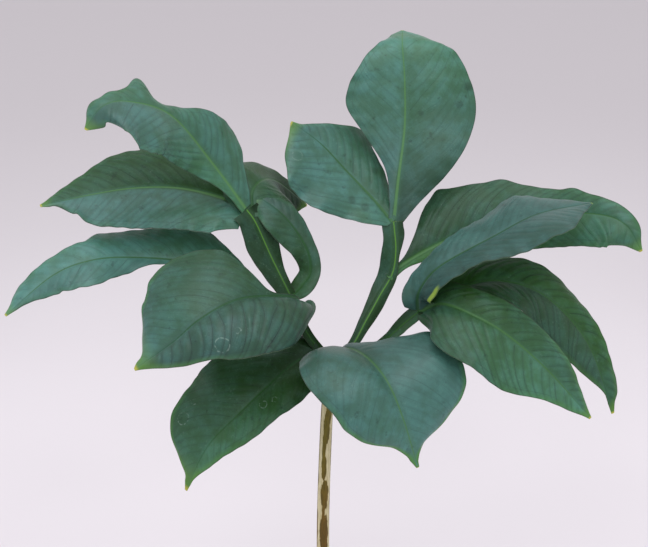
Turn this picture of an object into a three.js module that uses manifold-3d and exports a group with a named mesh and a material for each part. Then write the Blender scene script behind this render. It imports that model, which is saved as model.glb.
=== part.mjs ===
// Potted amorphophallus: one divided leaf on a mottled stalk, grown from a tuber in a plain clay pot.
// Millimetres, +Z up. The origin is the middle of the pot's underside, and -Y is the plant's front.
import * as THREE from 'three';
import { mergeVertices } from 'three/addons/utils/BufferGeometryUtils.js';
import Module from 'manifold-3d';

const wasm = await Module();
wasm.setup();

// Clearance left between pieces that touch
const GAP = 0.3;
// Corners closer than this are one corner
const MERGE_DISTANCE = 1e-4;

// Clay pot: a tapered wall with a collar round the mouth
const POT_HEIGHT = 150;
const POT_MOUTH_RADIUS = 90;
const POT_FOOT_RADIUS = 60;
const POT_COLLAR_HEIGHT = 30;
const POT_COLLAR_STEP = 5;
const POT_WALL = 7;
const POT_FLOOR = 9;
const POT_EDGE = 2.5;
const POT_SIDES = 48;
const DRAIN_HOLES = 3;
const DRAIN_RADIUS = 6;
const DRAIN_CIRCLE_RADIUS = 30;
const DRAIN_SIDES = 16;

// Soil: its surface is a low mound with shallow rings of hollows
const SOIL_BELOW_RIM = 18;
const SOIL_MOUND = 5;
const SOIL_LUMP = 1.2;
const SOIL_RINGS = 9;
const SOIL_SIDES = 36;

// Tuber: a flattened globe with a dimple on top, where the stalk stands
const TUBER_RADIUS = 36;
const TUBER_HEIGHT = 50;
const TUBER_BOTTOM = 52;
const TUBER_DIMPLE_RADIUS = 12;
const TUBER_DIMPLE_DEPTH = 4;
const TUBER_DIMPLE_SLOPE = 2;
const TUBER_SIDES = 28;
const TUBER_RINGS = 9;

// Stalk: a slightly bent tapering rod from the tuber to the hub, where the leaf divides in three
const HUB = [8, 0, 556];
const STALK_FOOT_RADIUS = 8.5;
const STALK_WAIST_RADIUS = 6.3;
const STALK_TOP_RADIUS = 5.4;
const STALK_SIDES = 16;
const STALK_ROWS = 22;

// Blades: ribs and leaflets are thin sheets with a keel under the midrib
const BLADE_THICKNESS = 0.9;
const OUTLINE_SAMPLES = 160;
// Narrower than this, a half blade waves less towards its end
const FULL_WAVE_WIDTH = 12;
const TIP_HALF_WIDTH = 0.8;
// Close to its point a leaflet keeps this share of its last given half width. A rib ends blunt instead.
const DRIP_TIP = 0.38;
const BLUNT_END = 1;
const NO_SWELLING = [0, 0, 1];
// Rows lie a little closer together towards the tip
const ROW_CROWDING = 1.15;
const LEAFLET_RIB_RADII = [2.2, 0.45];
const RACHIS_RIB_RADII = [3.4, 2.5];
const LEAFLET_ROWS = 18;
const LEAFLET_STRIPS = 3;
const RACHIS_ROWS = 11;
const RACHIS_STRIPS = 1;

// Upper faces are turned to the light, which comes from above and a little from the front
const LIGHT = new THREE.Vector3(0, -0.5, 0.866);

// Where the half widths of a blade are given, as fractions of its midrib from base to tip. The last two
// places aren't given: they follow from the kind of end.
const STATIONS = [0, 0.1, 0.25, 0.42, 0.6, 0.77, 0.91, 0.965, 1];

const clay = { color: 0xb5694a, roughness: 0.85, metalness: 0 };
const earth = { color: 0x3b2a1f, roughness: 1, metalness: 0 };
const tuberSkin = { color: 0x7a5a3c, roughness: 0.9, metalness: 0 };
const stalkSkin = { color: 0xc9bf92, roughness: 0.5, metalness: 0 };
const ribGreen = { color: 0x4f7a50, roughness: 0.45, metalness: 0 };
const leafGreen = { color: 0x4f7a66, roughness: 0.4, metalness: 0 };

const deg = THREE.MathUtils.degToRad;
const group = new THREE.Group();

// A solid from a closed geometry, with its shared corners merged
function solidOf(geometry) {
  const bare = geometry.clone();
  bare.deleteAttribute('normal');
  bare.deleteAttribute('uv');
  const merged = mergeVertices(bare, MERGE_DISTANCE);
  return new wasm.Manifold(new wasm.Mesh({
    numProp: 3,
    vertProperties: new Float32Array(merged.attributes.position.array),
    triVerts: new Uint32Array(merged.index.array),
  }));
}

function geometryOf(solid) {
  const mesh = solid.getMesh();
  const geometry = new THREE.BufferGeometry();
  geometry.setAttribute('position', new THREE.BufferAttribute(mesh.vertProperties, 3));
  geometry.setIndex(new THREE.BufferAttribute(mesh.triVerts, 1));
  geometry.computeVertexNormals();
  return geometry;
}

function addPiece(name, solid, look) {
  const mesh = new THREE.Mesh(geometryOf(solid), new THREE.MeshStandardMaterial(look));
  mesh.name = name;
  group.add(mesh);
}

// A turned solid: points are [radius, height] from the axis at the bottom to the axis at the top
function turned(points, sides) {
  const lathe = new THREE.LatheGeometry(points.map(([r, z]) => new THREE.Vector2(r, z)), sides);
  lathe.rotateX(Math.PI / 2);
  return lathe;
}

function smooth(points) {
  return new THREE.CatmullRomCurve3(points.map((p) => new THREE.Vector3(...p)), false, 'catmullrom', 0.5);
}

// A closed skin over rows of points: each row is a ring, and the first and last rings are filled in.
// The ring's second half is the back of its first, so both are split along the same diagonals.
function closedRings(rings, capOf) {
  const count = rings[0].length;
  const positions = rings.flat().flatMap((p) => p.toArray());
  const index = [];
  for (let i = 0; i < rings.length - 1; i += 1) {
    for (let j = 0; j < count; j += 1) {
      const k = (j + 1) % count;
      const [a, b, c, d] = [i * count + j, i * count + k, (i + 1) * count + k, (i + 1) * count + j];
      index.push(...(2 * j < count ? [a, b, c, a, c, d] : [a, b, d, b, c, d]));
    }
  }
  const last = (rings.length - 1) * count;
  for (const [a, b, c] of capOf(count)) {
    index.push(a, c, b);
    index.push(last + a, last + b, last + c);
  }
  const geometry = new THREE.BufferGeometry();
  geometry.setAttribute('position', new THREE.Float32BufferAttribute(positions, 3));
  geometry.setIndex(index);
  return geometry;
}

// Clay pot
const potBodyTop = POT_HEIGHT - POT_COLLAR_HEIGHT;
const potBodyRadius = POT_MOUTH_RADIUS - POT_COLLAR_STEP;
const potInnerFoot = POT_FOOT_RADIUS - POT_WALL;
const potInnerMouth = POT_MOUTH_RADIUS - POT_WALL - POT_COLLAR_STEP / 2;

function potInnerRadius(z) {
  return THREE.MathUtils.mapLinear(z, POT_FLOOR, POT_HEIGHT, potInnerFoot, potInnerMouth);
}

const potProfile = [
  [0, 0],
  [POT_FOOT_RADIUS - POT_EDGE, 0],
  [POT_FOOT_RADIUS, POT_EDGE],
  [potBodyRadius, potBodyTop],
  [POT_MOUTH_RADIUS - POT_EDGE, potBodyTop],
  [POT_MOUTH_RADIUS, potBodyTop + POT_EDGE],
  [POT_MOUTH_RADIUS, POT_HEIGHT - POT_EDGE],
  [POT_MOUTH_RADIUS - POT_EDGE, POT_HEIGHT],
  [potInnerMouth + POT_EDGE / 2, POT_HEIGHT],
  [potInnerRadius(POT_HEIGHT - POT_EDGE), POT_HEIGHT - POT_EDGE],
  [potInnerFoot, POT_FLOOR],
  [0, POT_FLOOR],
];
let pot = solidOf(turned(potProfile, POT_SIDES));
for (let i = 0; i < DRAIN_HOLES; i += 1) {
  const angle = (2 * Math.PI * (i + 0.5)) / DRAIN_HOLES;
  const drain = new THREE.CylinderGeometry(DRAIN_RADIUS, DRAIN_RADIUS, 3 * POT_FLOOR, DRAIN_SIDES);
  drain.rotateX(Math.PI / 2);
  drain.translate(DRAIN_CIRCLE_RADIUS * Math.cos(angle), DRAIN_CIRCLE_RADIUS * Math.sin(angle), 0);
  pot = pot.subtract(solidOf(drain));
}
addPiece('pot', pot, clay);

// Tuber
const dimpleAngle = Math.acos(TUBER_DIMPLE_RADIUS / TUBER_RADIUS);
const dimpleFloor = TUBER_BOTTOM + (TUBER_HEIGHT / 2) * (1 + Math.sin(dimpleAngle)) - TUBER_DIMPLE_DEPTH;

function tuberSolid(spare) {
  const half = TUBER_HEIGHT / 2;
  const middle = TUBER_BOTTOM + half;
  const points = [[0, TUBER_BOTTOM - spare]];
  for (let i = 1; i <= TUBER_RINGS; i += 1) {
    const angle = THREE.MathUtils.mapLinear(i, 0, TUBER_RINGS, -Math.PI / 2, dimpleAngle);
    points.push([(TUBER_RADIUS + spare) * Math.cos(angle), middle + (half + spare) * Math.sin(angle)]);
  }
  points.push([TUBER_DIMPLE_RADIUS - TUBER_DIMPLE_SLOPE, dimpleFloor + spare], [0, dimpleFloor + spare]);
  return solidOf(turned(points, TUBER_SIDES));
}
addPiece('tuber', tuberSolid(0), tuberSkin);

// Stalk
const stalkLine = smooth([
  [0, 0, dimpleFloor + GAP],
  [0, 1, 180],
  [1, 2, 290],
  [1, 2, 400],
  [4, 1, 500],
  HUB,
]);

function stalkRadius(s) {
  const swelling = (STALK_FOOT_RADIUS - STALK_WAIST_RADIUS) * (1 - s) ** 4;
  return THREE.MathUtils.lerp(STALK_WAIST_RADIUS, STALK_TOP_RADIUS, s) + swelling;
}

function stalkSolid(spare) {
  const rings = [];
  for (let i = 0; i <= STALK_ROWS; i += 1) {
    const s = i / STALK_ROWS;
    const along = stalkLine.getTangentAt(s);
    const side = new THREE.Vector3(1, 0, 0).cross(along).normalize();
    const front = new THREE.Vector3().crossVectors(along, side);
    const middle = stalkLine.getPointAt(s);
    if (i === 0) middle.addScaledVector(along, -spare);
    if (i === STALK_ROWS) middle.addScaledVector(along, spare);
    const radius = stalkRadius(s) + spare;
    const ring = [];
    for (let j = 0; j < STALK_SIDES; j += 1) {
      const angle = (2 * Math.PI * j) / STALK_SIDES;
      const out = side.clone().multiplyScalar(Math.cos(angle)).addScaledVector(front, Math.sin(angle));
      ring.push(middle.clone().addScaledVector(out, radius));
    }
    rings.push(ring);
  }
  const fan = (count) => Array.from({ length: count - 2 }, (_, j) => [0, j + 1, j + 2]);
  return solidOf(closedRings(rings, fan));
}
addPiece('petiole', stalkSolid(0), stalkSkin);

// Soil
const soilLevel = POT_HEIGHT - SOIL_BELOW_RIM;
const soilBottom = POT_FLOOR + GAP;
const soilEdge = potInnerRadius(soilLevel) - GAP;
const soilPoints = [
  [0, soilBottom],
  [potInnerRadius(soilBottom) - GAP, soilBottom],
  [soilEdge, soilLevel],
];
for (let i = SOIL_RINGS - 1; i >= 0; i -= 1) {
  const share = i / SOIL_RINGS;
  const lump = i % 2 === 0 ? SOIL_LUMP : 0;
  soilPoints.push([soilEdge * share, soilLevel + SOIL_MOUND * (1 - share ** 2) + lump]);
}
const soil = solidOf(turned(soilPoints, SOIL_SIDES)).subtract(tuberSolid(GAP)).subtract(stalkSolid(GAP));
addPiece('soil', soil, earth);

// Blades
// Half width at s: a smooth curve through the widths at the stations, plus a bell curve where the margin
// swells or dips, given as its place, height and spread
function widthCurve(widths, end, swelling) {
  const last = widths[widths.length - 1];
  const ends = [...widths, last * end, end < BLUNT_END ? TIP_HALF_WIDTH : last];
  const samples = smooth(STATIONS.map((s, i) => [s, ends[i], 0])).getPoints(OUTLINE_SAMPLES);
  const [place, height, spread] = swelling;
  return (s) => {
    const next = Math.max(1, samples.findIndex((p) => p.x >= s));
    const [a, b] = [samples[next - 1], samples[next]];
    const even = THREE.MathUtils.mapLinear(s, a.x, b.x, a.y, b.y);
    return Math.max(TIP_HALF_WIDTH, even + height * Math.exp(-(((s - place) / spread) ** 2)));
  };
}

// One blade as a closed sheet. Across it, each half leaves the midrib at the fold angle, bends down by
// the curl angle on its way to the margin, and waves up and down towards its edge. A lobe is drawn back
// behind the blade's base.
function bladeSolid(blade, spare) {
  const { rows, strips, radii } = blade.make;
  const line = smooth(blade.rib);
  const rings = [];
  const { leftHalf, rightHalf, end } = blade;
  const widths = {
    left: widthCurve(blade.left, end, leftHalf.swelling ?? NO_SWELLING),
    right: widthCurve(blade.right, end, rightHalf.swelling ?? NO_SWELLING),
  };
  for (let i = 0; i <= rows; i += 1) {
    const s = 1 - (1 - i / rows) ** ROW_CROWDING;
    const along = line.getTangentAt(s);
    const flat = along.clone().cross(LIGHT).normalize();
    const lift = flat.clone().cross(along);
    const roll = deg(THREE.MathUtils.lerp(...blade.roll, s));
    const across = flat.clone().multiplyScalar(Math.cos(roll)).addScaledVector(lift, Math.sin(roll));
    const above = lift.multiplyScalar(Math.cos(roll)).addScaledVector(flat, -Math.sin(roll));
    const middle = line.getPointAt(s);
    if (i === 0) middle.addScaledVector(along, -spare);
    if (i === rows) middle.addScaledVector(along, spare);
    const radius = THREE.MathUtils.lerp(...radii, s) + spare;

    const halfBlade = (side, sign) => {
      const shape = blade[`${side}Half`];
      const width = widths[side](s);
      const fold = deg(THREE.MathUtils.lerp(...shape.fold, s));
      const curl = deg(shape.curl);
      const [height, cycles, phase] = shape.wave;
      const narrow = Math.min(1, width / FULL_WAVE_WIDTH);
      const wave = height * Math.sin(2 * Math.PI * (cycles * s + phase)) * narrow;
      return Array.from({ length: strips + 1 }, (_, j) => {
        const u = j / strips;
        const bend = curl * u;
        const chord = width * u * (bend > 0 ? Math.sin(bend / 2) / (bend / 2) : 1);
        const x = radius + chord * Math.cos(fold - bend / 2) + (j > 0 ? spare : 0);
        const z = chord * Math.sin(fold - bend / 2) + wave * u * u;
        const thickness = BLADE_THICKNESS / Math.cos(fold - bend);
        const back = (shape.lobe ?? 0) * u * (1 - s) ** 3;
        return { x: sign * x, top: z + spare, bottom: z - thickness - spare, back };
      });
    };
    const keel = { x: 0, top: spare, bottom: -Math.max(2 * radius, BLADE_THICKNESS), back: 0 };
    const columns = [...halfBlade('left', -1).reverse(), keel, ...halfBlade('right', 1)];
    const place = ({ x, back }, z) => (
      middle.clone().addScaledVector(across, x).addScaledVector(above, z).addScaledVector(along, -back)
    );
    const top = columns.map((c) => place(c, c.top));
    const bottom = columns.map((c) => place(c, c.bottom)).reverse();
    rings.push([...top, ...bottom]);
  }
  const cap = (count) => {
    const triangles = [];
    for (let j = 0; j < count / 2 - 1; j += 1) {
      const [a, b, c, d] = [j, j + 1, count - 2 - j, count - 1 - j];
      triangles.push([a, b, c], [a, c, d]);
    }
    return triangles;
  };
  return solidOf(closedRings(rings, cap));
}

const rachisMake = { rows: RACHIS_ROWS, strips: RACHIS_STRIPS, radii: RACHIS_RIB_RADII };
const leafletMake = { rows: LEAFLET_ROWS, strips: LEAFLET_STRIPS, radii: LEAFLET_RIB_RADII };
const flatHalf = { fold: [15, 15], curl: 0, wave: [0, 1, 0] };

// Three winged ribs rise from the hub and carry the leaflets
const rachises = [
  {
    name: 'rachis_left',
    rib: [[8, 0, 560], [-13, 5, 587], [-28, 15, 619], [-45, 30, 650], [-59, 41, 679], [-67, 45, 690]],
    left: [2, 2, 3, 6, 12.5, 17, 15],
    right: [0.8, 0.8, 0.8, 2, 3, 9, 9],
    clearOf: [],
  },
  {
    name: 'rachis_centre',
    rib: [
      [10, 3, 558], [27, 14, 570], [40, 28, 589], [53, 42, 608],
      [64, 52, 625], [67, 60, 645], [65, 68, 668],
    ],
    left: [0.8, 0.8, 2, 4.5, 8.5, 11, 9],
    right: [0.8, 1.5, 2.5, 6, 4.5, 0.8, 6],
    clearOf: ['rachis_left'],
  },
  {
    name: 'rachis_right',
    rib: [[12, -3, 560], [38, -10, 574], [57, -14, 591], [72, -16, 607], [84, -18, 619]],
    left: [0.8, 0.8, 0.8, 0.8, 1.5, 4, 5],
    right: [0.8, 1, 1.5, 2, 3, 6, 6],
    clearOf: ['rachis_left', 'rachis_centre'],
  },
].map((rachis) => ({
  roll: [0, 0],
  end: BLUNT_END,
  leftHalf: flatHalf,
  rightHalf: flatHalf,
  make: rachisMake,
  ...rachis,
}));

// Fourteen leaflets, each with its midrib from base to tip, its half widths at the stations, the roll
// about its midrib at base and tip, and the fold, curl and edge wave of each half
const leaflets = [
  {
    name: 'leaflet_left_1',
    rib: [
      [-68, 45, 691], [-96, 42, 735], [-130, 30, 785],
      [-164, 15, 804], [-187, 2, 805], [-202, -8, 787],
    ],
    left: [4, 6, 17, 34, 48, 49, 27],
    right: [5, 18, 39, 31, 7, 12, 11],
    leftHalf: { fold: [20, 10], curl: 30, wave: [2, 2.5, 0] },
    rightHalf: { fold: [20, 10], curl: 40, wave: [2, 2.5, 0.3], swelling: [0.69, 22, 0.05] },
    clearOf: ['rachis_left'],
  },
  {
    name: 'leaflet_left_2',
    rib: [
      [-68, 46, 688], [-88, 54, 697], [-128, 64, 703],
      [-170, 64, 703], [-212, 56, 699], [-251, 40, 696],
    ],
    left: [18, 37, 41, 45, 41, 34, 6],
    right: [6, 22, 36, 43, 43, 23, 10],
    leftHalf: { fold: [18, 10], curl: 35, wave: [2, 3, 0], lobe: 4 },
    rightHalf: { fold: [18, 10], curl: 30, wave: [2, 2.5, 0.3] },
    clearOf: ['rachis_left', 'leaflet_left_1'],
  },
  {
    name: 'leaflet_left_3',
    rib: [
      [-26, 14, 615], [-50, 22, 617], [-80, 29, 631], [-119, 35, 643],
      [-165, 28, 651], [-203, 14, 655], [-238, 3, 645], [-279, -21, 617],
    ],
    left: [4, 6, 6, 4.5, 18, 24, 6],
    right: [2, 4, 22, 32, 29, 17, 14],
    leftHalf: { fold: [18, 10], curl: 30, wave: [2, 3, 0] },
    rightHalf: { fold: [18, 10], curl: 30, wave: [2, 2.5, 0.3] },
    clearOf: ['rachis_left'],
  },
  {
    name: 'leaflet_left_4',
    rib: [
      [-19, 8, 603], [-20, -10, 628], [-43, -26, 639], [-75, -45, 644],
      [-105, -62, 634], [-129, -70, 615], [-162, -74, 591],
    ],
    left: [8, 10.5, 50, 63, 53, 31, 11],
    right: [3, 3, 2, 50, 67, 55, 27],
    leftHalf: { fold: [48, 15], curl: 80, wave: [2, 3, 0] },
    rightHalf: { fold: [20, 10], curl: 30, wave: [2, 2.5, 0.3], swelling: [0.325, -13, 0.055] },
    clearOf: ['rachis_left', 'leaflet_left_3'],
  },
  {
    name: 'leaflet_left_5',
    rib: [
      [-1, -2, 570], [-23, -14, 568], [-49, -34, 553],
      [-75, -50, 533], [-102, -58, 505], [-122, -60, 462],
    ],
    left: [8, 27, 31, 29, 24, 15, 3],
    right: [8, 30, 45, 54, 56, 44, 11],
    leftHalf: { fold: [20, 10], curl: 30, wave: [2, 3, 0] },
    rightHalf: { fold: [20, 10], curl: 30, wave: [2, 2.5, 0.3] },
    clearOf: ['rachis_left', 'petiole'],
  },
  {
    name: 'leaflet_left_6',
    rib: [[-62, 43, 684], [-63, 58, 701], [-54, 76, 706], [-40, 98, 695], [-14, 118, 663]],
    left: [5, 18, 28, 30, 17, 7.5, 7],
    right: [4, 12, 24, 37, 40, 28, 14],
    leftHalf: { fold: [15, 10], curl: 25, wave: [1, 3, 0] },
    rightHalf: { fold: [-5, -15], curl: 15, wave: [1, 2.5, 0.3] },
    clearOf: ['rachis_left', 'leaflet_left_1', 'leaflet_left_2'],
  },
  {
    name: 'leaflet_left_7',
    rib: [
      [-28, 15, 619], [-19, 20, 627], [-11, 27, 637], [-12, 33, 652],
      [-21, 40, 668], [-34, 47, 683], [-48, 53, 693], [-63, 58, 700],
    ],
    left: [4, 7, 9, 14, 19, 20, 12],
    right: [5, 10, 8, 8, 12.5, 13, 8],
    leftHalf: { fold: [20, 10], curl: 40, wave: [1, 3, 0] },
    rightHalf: { fold: [20, 10], curl: 40, wave: [1, 2.5, 0.3] },
    clearOf: ['rachis_left', 'leaflet_left_4', 'leaflet_left_6'],
  },
  {
    name: 'leaflet_centre_1',
    rib: [[65, 69, 667], [69, 85, 701], [75, 108, 744], [75, 124, 784], [73, 141, 812], [74, 170, 816]],
    left: [3, 4, 12, 38, 55, 38, 14],
    right: [6, 19, 41, 58, 63, 51, 32],
    end: 0.62,
    leftHalf: { fold: [15, 8], curl: 20, wave: [2, 3, 0] },
    rightHalf: { fold: [15, 8], curl: 30, wave: [2, 2.5, 0.3] },
    clearOf: ['rachis_centre'],
  },
  {
    name: 'leaflet_centre_2',
    rib: [[64, 68, 668], [47, 80, 685], [23, 93, 707], [-2, 101, 732], [-28, 104, 751]],
    left: [5, 22, 34.5, 49, 53, 54, 34],
    right: [3, 9, 23, 32, 43, 23, 7],
    leftHalf: { fold: [15, 8], curl: 20, wave: [2, 3, 0] },
    rightHalf: { fold: [15, 8], curl: 30, wave: [2, 2.5, 0.3] },
    clearOf: ['rachis_centre', 'leaflet_centre_1', 'leaflet_left_6'],
  },
  {
    name: 'leaflet_centre_3',
    rib: [
      [60, 50, 621], [76, 60, 631], [108, 72, 645], [154, 82, 660],
      [207, 74, 673], [250, 52, 682], [272, 38, 677], [285, 27, 657],
    ],
    left: [2, 5, 40, 38, 25, 17, 10],
    right: [3, 4, 16, 28, 30, 31, 25],
    roll: [-15, -25],
    leftHalf: { fold: [18, 10], curl: 30, wave: [2, 3, 0] },
    rightHalf: { fold: [18, 10], curl: 30, wave: [2, 2.5, 0.3] },
    clearOf: ['rachis_centre'],
  },
  {
    name: 'leaflet_right_1',
    rib: [[84, -18, 620], [85, -22, 642], [103, -20, 665], [149, -5, 686], [189, 8, 702], [239, 30, 703]],
    left: [8, 13, 22, 28, 42, 40, 26],
    right: [8, 16, 22, 30, 40, 42, 16],
    roll: [20, 30],
    leftHalf: { fold: [18, 10], curl: 30, wave: [2, 3, 0] },
    rightHalf: { fold: [18, 10], curl: 30, wave: [2, 2.5, 0.3] },
    clearOf: ['rachis_right'],
  },
  {
    name: 'leaflet_right_2',
    rib: [
      [84, -18, 620], [100, -16, 628], [124, -12, 641], [157, -8, 645],
      [197, -10, 631], [235, -25, 592], [258, -45, 532],
    ],
    left: [5, 14, 25, 29, 22, 15, 13],
    right: [5, 8, 20, 33, 34, 23, 2.5],
    roll: [15, 0],
    leftHalf: { fold: [25, 10], curl: 40, wave: [2, 3, 0] },
    rightHalf: { fold: [25, 10], curl: 30, wave: [2, 2.5, 0.3] },
    clearOf: ['rachis_right', 'leaflet_right_1'],
  },
  {
    name: 'leaflet_right_3',
    rib: [
      [85, -20, 620], [105, -32, 634], [133, -48, 630],
      [161, -58, 616], [196, -66, 586], [235, -70, 541],
    ],
    left: [5, 18, 22, 25, 25, 20, 9],
    right: [5, 28, 42, 44, 41, 22, 9],
    roll: [-10, -10],
    leftHalf: { fold: [25, 10], curl: 40, wave: [2, 3, 0] },
    rightHalf: { fold: [25, 10], curl: 30, wave: [2, 2.5, 0.3] },
    clearOf: ['rachis_right', 'leaflet_right_1', 'leaflet_right_2'],
  },
  {
    name: 'leaflet_right_4',
    rib: [
      [12, -4, 566], [18, -16, 582], [29, -34, 590], [43, -62, 593],
      [57, -90, 586], [70, -104, 558], [83, -106, 512],
    ],
    left: [2, 2, 15, 62, 69, 56, 11],
    right: [12, 38, 57, 69, 58, 42.5, 10],
    leftHalf: { fold: [18, 10], curl: 30, wave: [2, 3, 0], lobe: 6 },
    rightHalf: { fold: [66, 14], curl: 64, wave: [2, 2.5, 0.3], lobe: 6 },
    clearOf: ['rachis_right', 'rachis_left', 'petiole', 'leaflet_left_5'],
  },
].map((leaflet) => ({ roll: [0, 0], end: DRIP_TIP, make: leafletMake, ...leaflet }));

// The largest body of a solid: what a cut leaves loose on the far side is dropped
function largestBody(solid) {
  return solid.decompose().reduce((kept, body) => (body.volume() > kept.volume() ? body : kept));
}

// Each blade is trimmed clear of the pieces that it grows from or starts beside
const blades = new Map([...rachises, ...leaflets].map((blade) => [blade.name, blade]));
for (const blade of blades.values()) {
  let solid = bladeSolid(blade, 0);
  for (const name of blade.clearOf) {
    solid = solid.subtract(name === 'petiole' ? stalkSolid(GAP) : bladeSolid(blades.get(name), GAP));
  }
  if (blade.make === rachisMake) solid = solid.subtract(stalkSolid(GAP));
  addPiece(blade.name, largestBody(solid), blade.make === rachisMake ? ribGreen : leafGreen);
}

export default group;
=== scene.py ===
import math

import bmesh
import bpy
import numpy as np
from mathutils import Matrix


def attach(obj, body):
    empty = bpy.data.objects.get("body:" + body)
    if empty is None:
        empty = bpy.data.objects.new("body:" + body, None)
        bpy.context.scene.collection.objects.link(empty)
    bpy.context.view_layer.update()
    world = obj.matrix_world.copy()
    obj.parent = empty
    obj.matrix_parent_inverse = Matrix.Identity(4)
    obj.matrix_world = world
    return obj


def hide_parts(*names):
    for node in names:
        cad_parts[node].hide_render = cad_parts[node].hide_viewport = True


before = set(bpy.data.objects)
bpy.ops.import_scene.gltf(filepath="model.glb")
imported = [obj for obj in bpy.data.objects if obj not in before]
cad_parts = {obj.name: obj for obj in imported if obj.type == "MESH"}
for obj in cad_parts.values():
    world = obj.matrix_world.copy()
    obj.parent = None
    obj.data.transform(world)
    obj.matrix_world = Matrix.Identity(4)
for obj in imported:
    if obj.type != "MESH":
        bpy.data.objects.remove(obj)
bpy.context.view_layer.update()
scene = bpy.context.scene


# Clay pot: a flower pot of red earthenware, thrown on a wheel and fired without a glaze. A collar
# thickens its mouth, its wall keeps faint rings from the turning, and three holes drain its floor.
MM = 0.001
POT_HEIGHT = 150
POT_MOUTH_RADIUS = 90
POT_FOOT_RADIUS = 60
POT_COLLAR_HEIGHT = 30
POT_COLLAR_STEP = 5
POT_WALL = 7
POT_FLOOR = 9
POT_SIDES = 144
POT_STEP = 1.6
POT_SHARP_ANGLE = math.radians(50)
ARC_POINTS = 7
SAME_PLACE = MM * 1e-3
RINGS_START = 4
RINGS_FULL = 12
RING_WAVES = [(0.16, 1.31, 0), (0.1, 0.47, 1)]
DRAIN_HOLES = 3
DRAIN_RADIUS = 6
DRAIN_CIRCLE_RADIUS = 30
DRAIN_SIDES = 48


def add_object(name, points, faces, values=None):
    """A smooth mesh object from points (n, 3) in millimetres and arrays of faces with like corners each.
    values holds arrays of n numbers, kept under their names for the materials."""
    mesh = bpy.data.meshes.new(name)
    sizes = np.concatenate([np.full(len(f), f.shape[1]) for f in faces])
    starts = np.concatenate([[0], np.cumsum(sizes)[:-1]])
    corners = np.concatenate([f.ravel() for f in faces])
    mesh.vertices.add(len(points))
    mesh.vertices.foreach_set("co", (points * MM).astype(np.float32).ravel())
    mesh.loops.add(len(corners))
    mesh.loops.foreach_set("vertex_index", corners.astype(np.int32))
    mesh.polygons.add(len(sizes))
    mesh.polygons.foreach_set("loop_start", starts.astype(np.int32))
    mesh.update(calc_edges=True)
    for key, numbers in (values or {}).items():
        layer = mesh.attributes.new(key, "FLOAT", "POINT")
        layer.data.foreach_set("value", np.asarray(numbers, np.float32).ravel())
    mesh.shade_smooth()
    made = bpy.data.objects.new(name, mesh)
    scene.collection.objects.link(made)
    return made


def grid_faces(rows, columns, wrap):
    """Quads between the points of a grid, numbered row by row; wrap joins the last column to the first."""
    i, j = np.meshgrid(np.arange(rows - 1), np.arange(columns if wrap else columns - 1), indexing="ij")
    k = (j + 1) % columns
    corners = [i * columns + j, i * columns + k, (i + 1) * columns + k, (i + 1) * columns + j]
    return np.stack(corners, -1).reshape(-1, 4)


def turned(profile, sides):
    """Points of a turned surface: each [radius, height] of the profile is swept round the z axis."""
    angle = np.linspace(0, 2 * math.pi, sides, endpoint=False)
    radius, height = np.asarray(profile, float).T
    x = np.outer(radius, np.cos(angle))
    y = np.outer(radius, np.sin(angle))
    return np.stack([x, y, np.broadcast_to(height[:, None], x.shape)], -1)


def close_poles(made):
    """Merges the points that lie on each other at the two ends of a turned surface."""
    shape = bmesh.new()
    shape.from_mesh(made.data)
    bmesh.ops.remove_doubles(shape, verts=shape.verts, dist=SAME_PLACE)
    shape.to_mesh(made.data)
    shape.free()


def softened(corners, step):
    """A profile whose corners [radius, height, rounding] are replaced by arcs: each arc is the quadratic
    curve between the points one rounding away along both edges. Long edges get a point every step."""
    spots = np.array([c[:2] for c in corners], float)
    bends = np.array([c[2] for c in corners], float)
    pieces = [spots[:1]]
    for before, here, after, bend in zip(spots, spots[1:], spots[2:], bends[1:]):
        start = here + (before - here) * (bend / np.linalg.norm(before - here))
        end = here + (after - here) * (bend / np.linalg.norm(after - here))
        t = np.linspace(0, 1, ARC_POINTS)[:, None]
        pieces.append(start * (1 - t) ** 2 + 2 * here * t * (1 - t) + end * t ** 2)
    line = np.concatenate(pieces + [spots[-1:]])
    length = np.linalg.norm(np.diff(line, axis=0), axis=1)
    counts = np.maximum(1, np.ceil(length / step)).astype(int)
    parts = [a + (b - a) * np.linspace(0, 1, n, endpoint=False)[:, None]
             for a, b, n in zip(line, line[1:], counts)]
    return np.concatenate(parts + [line[-1:]])


def pot_inner_radius(z):
    """The inner wall runs straight from the floor to the mouth."""
    foot = POT_FOOT_RADIUS - POT_WALL
    mouth = POT_MOUTH_RADIUS - POT_WALL - POT_COLLAR_STEP / 2
    return foot + (mouth - foot) * (z - POT_FLOOR) / (POT_HEIGHT - POT_FLOOR)


collar_bottom = POT_HEIGHT - POT_COLLAR_HEIGHT
pot_line = softened([
    [0, 0, 0],
    [POT_FOOT_RADIUS, 0, 2.5],
    [POT_MOUTH_RADIUS - POT_COLLAR_STEP, collar_bottom, 1.2],
    [POT_MOUTH_RADIUS, collar_bottom, 2.5],
    [POT_MOUTH_RADIUS, POT_HEIGHT, 3],
    [pot_inner_radius(POT_HEIGHT), POT_HEIGHT, 2.5],
    [POT_FOOT_RADIUS - POT_WALL, POT_FLOOR, 6],
    [0, POT_FLOOR, 0],
], POT_STEP)
pot_points = turned(pot_line, POT_SIDES)
pot_angle = np.arctan2(pot_points[..., 1], pot_points[..., 0])
pot_level = pot_points[..., 2]
past_floor = pot_line[:, :1] > POT_FOOT_RADIUS - POT_WALL + 1
on_wall = np.clip((pot_level - RINGS_START) / (RINGS_FULL - RINGS_START), 0, 1) * past_floor
rings = sum(depth * np.sin(pot_level * pace + pot_angle * starts) for depth, pace, starts in RING_WAVES)
pot_points[..., :2] *= (1 + on_wall * rings / np.maximum(pot_line[:, :1], 1))[..., None]
pot = add_object("pot_fired", pot_points.reshape(-1, 3), [grid_faces(len(pot_line), POT_SIDES, True)])
close_poles(pot)

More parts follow.
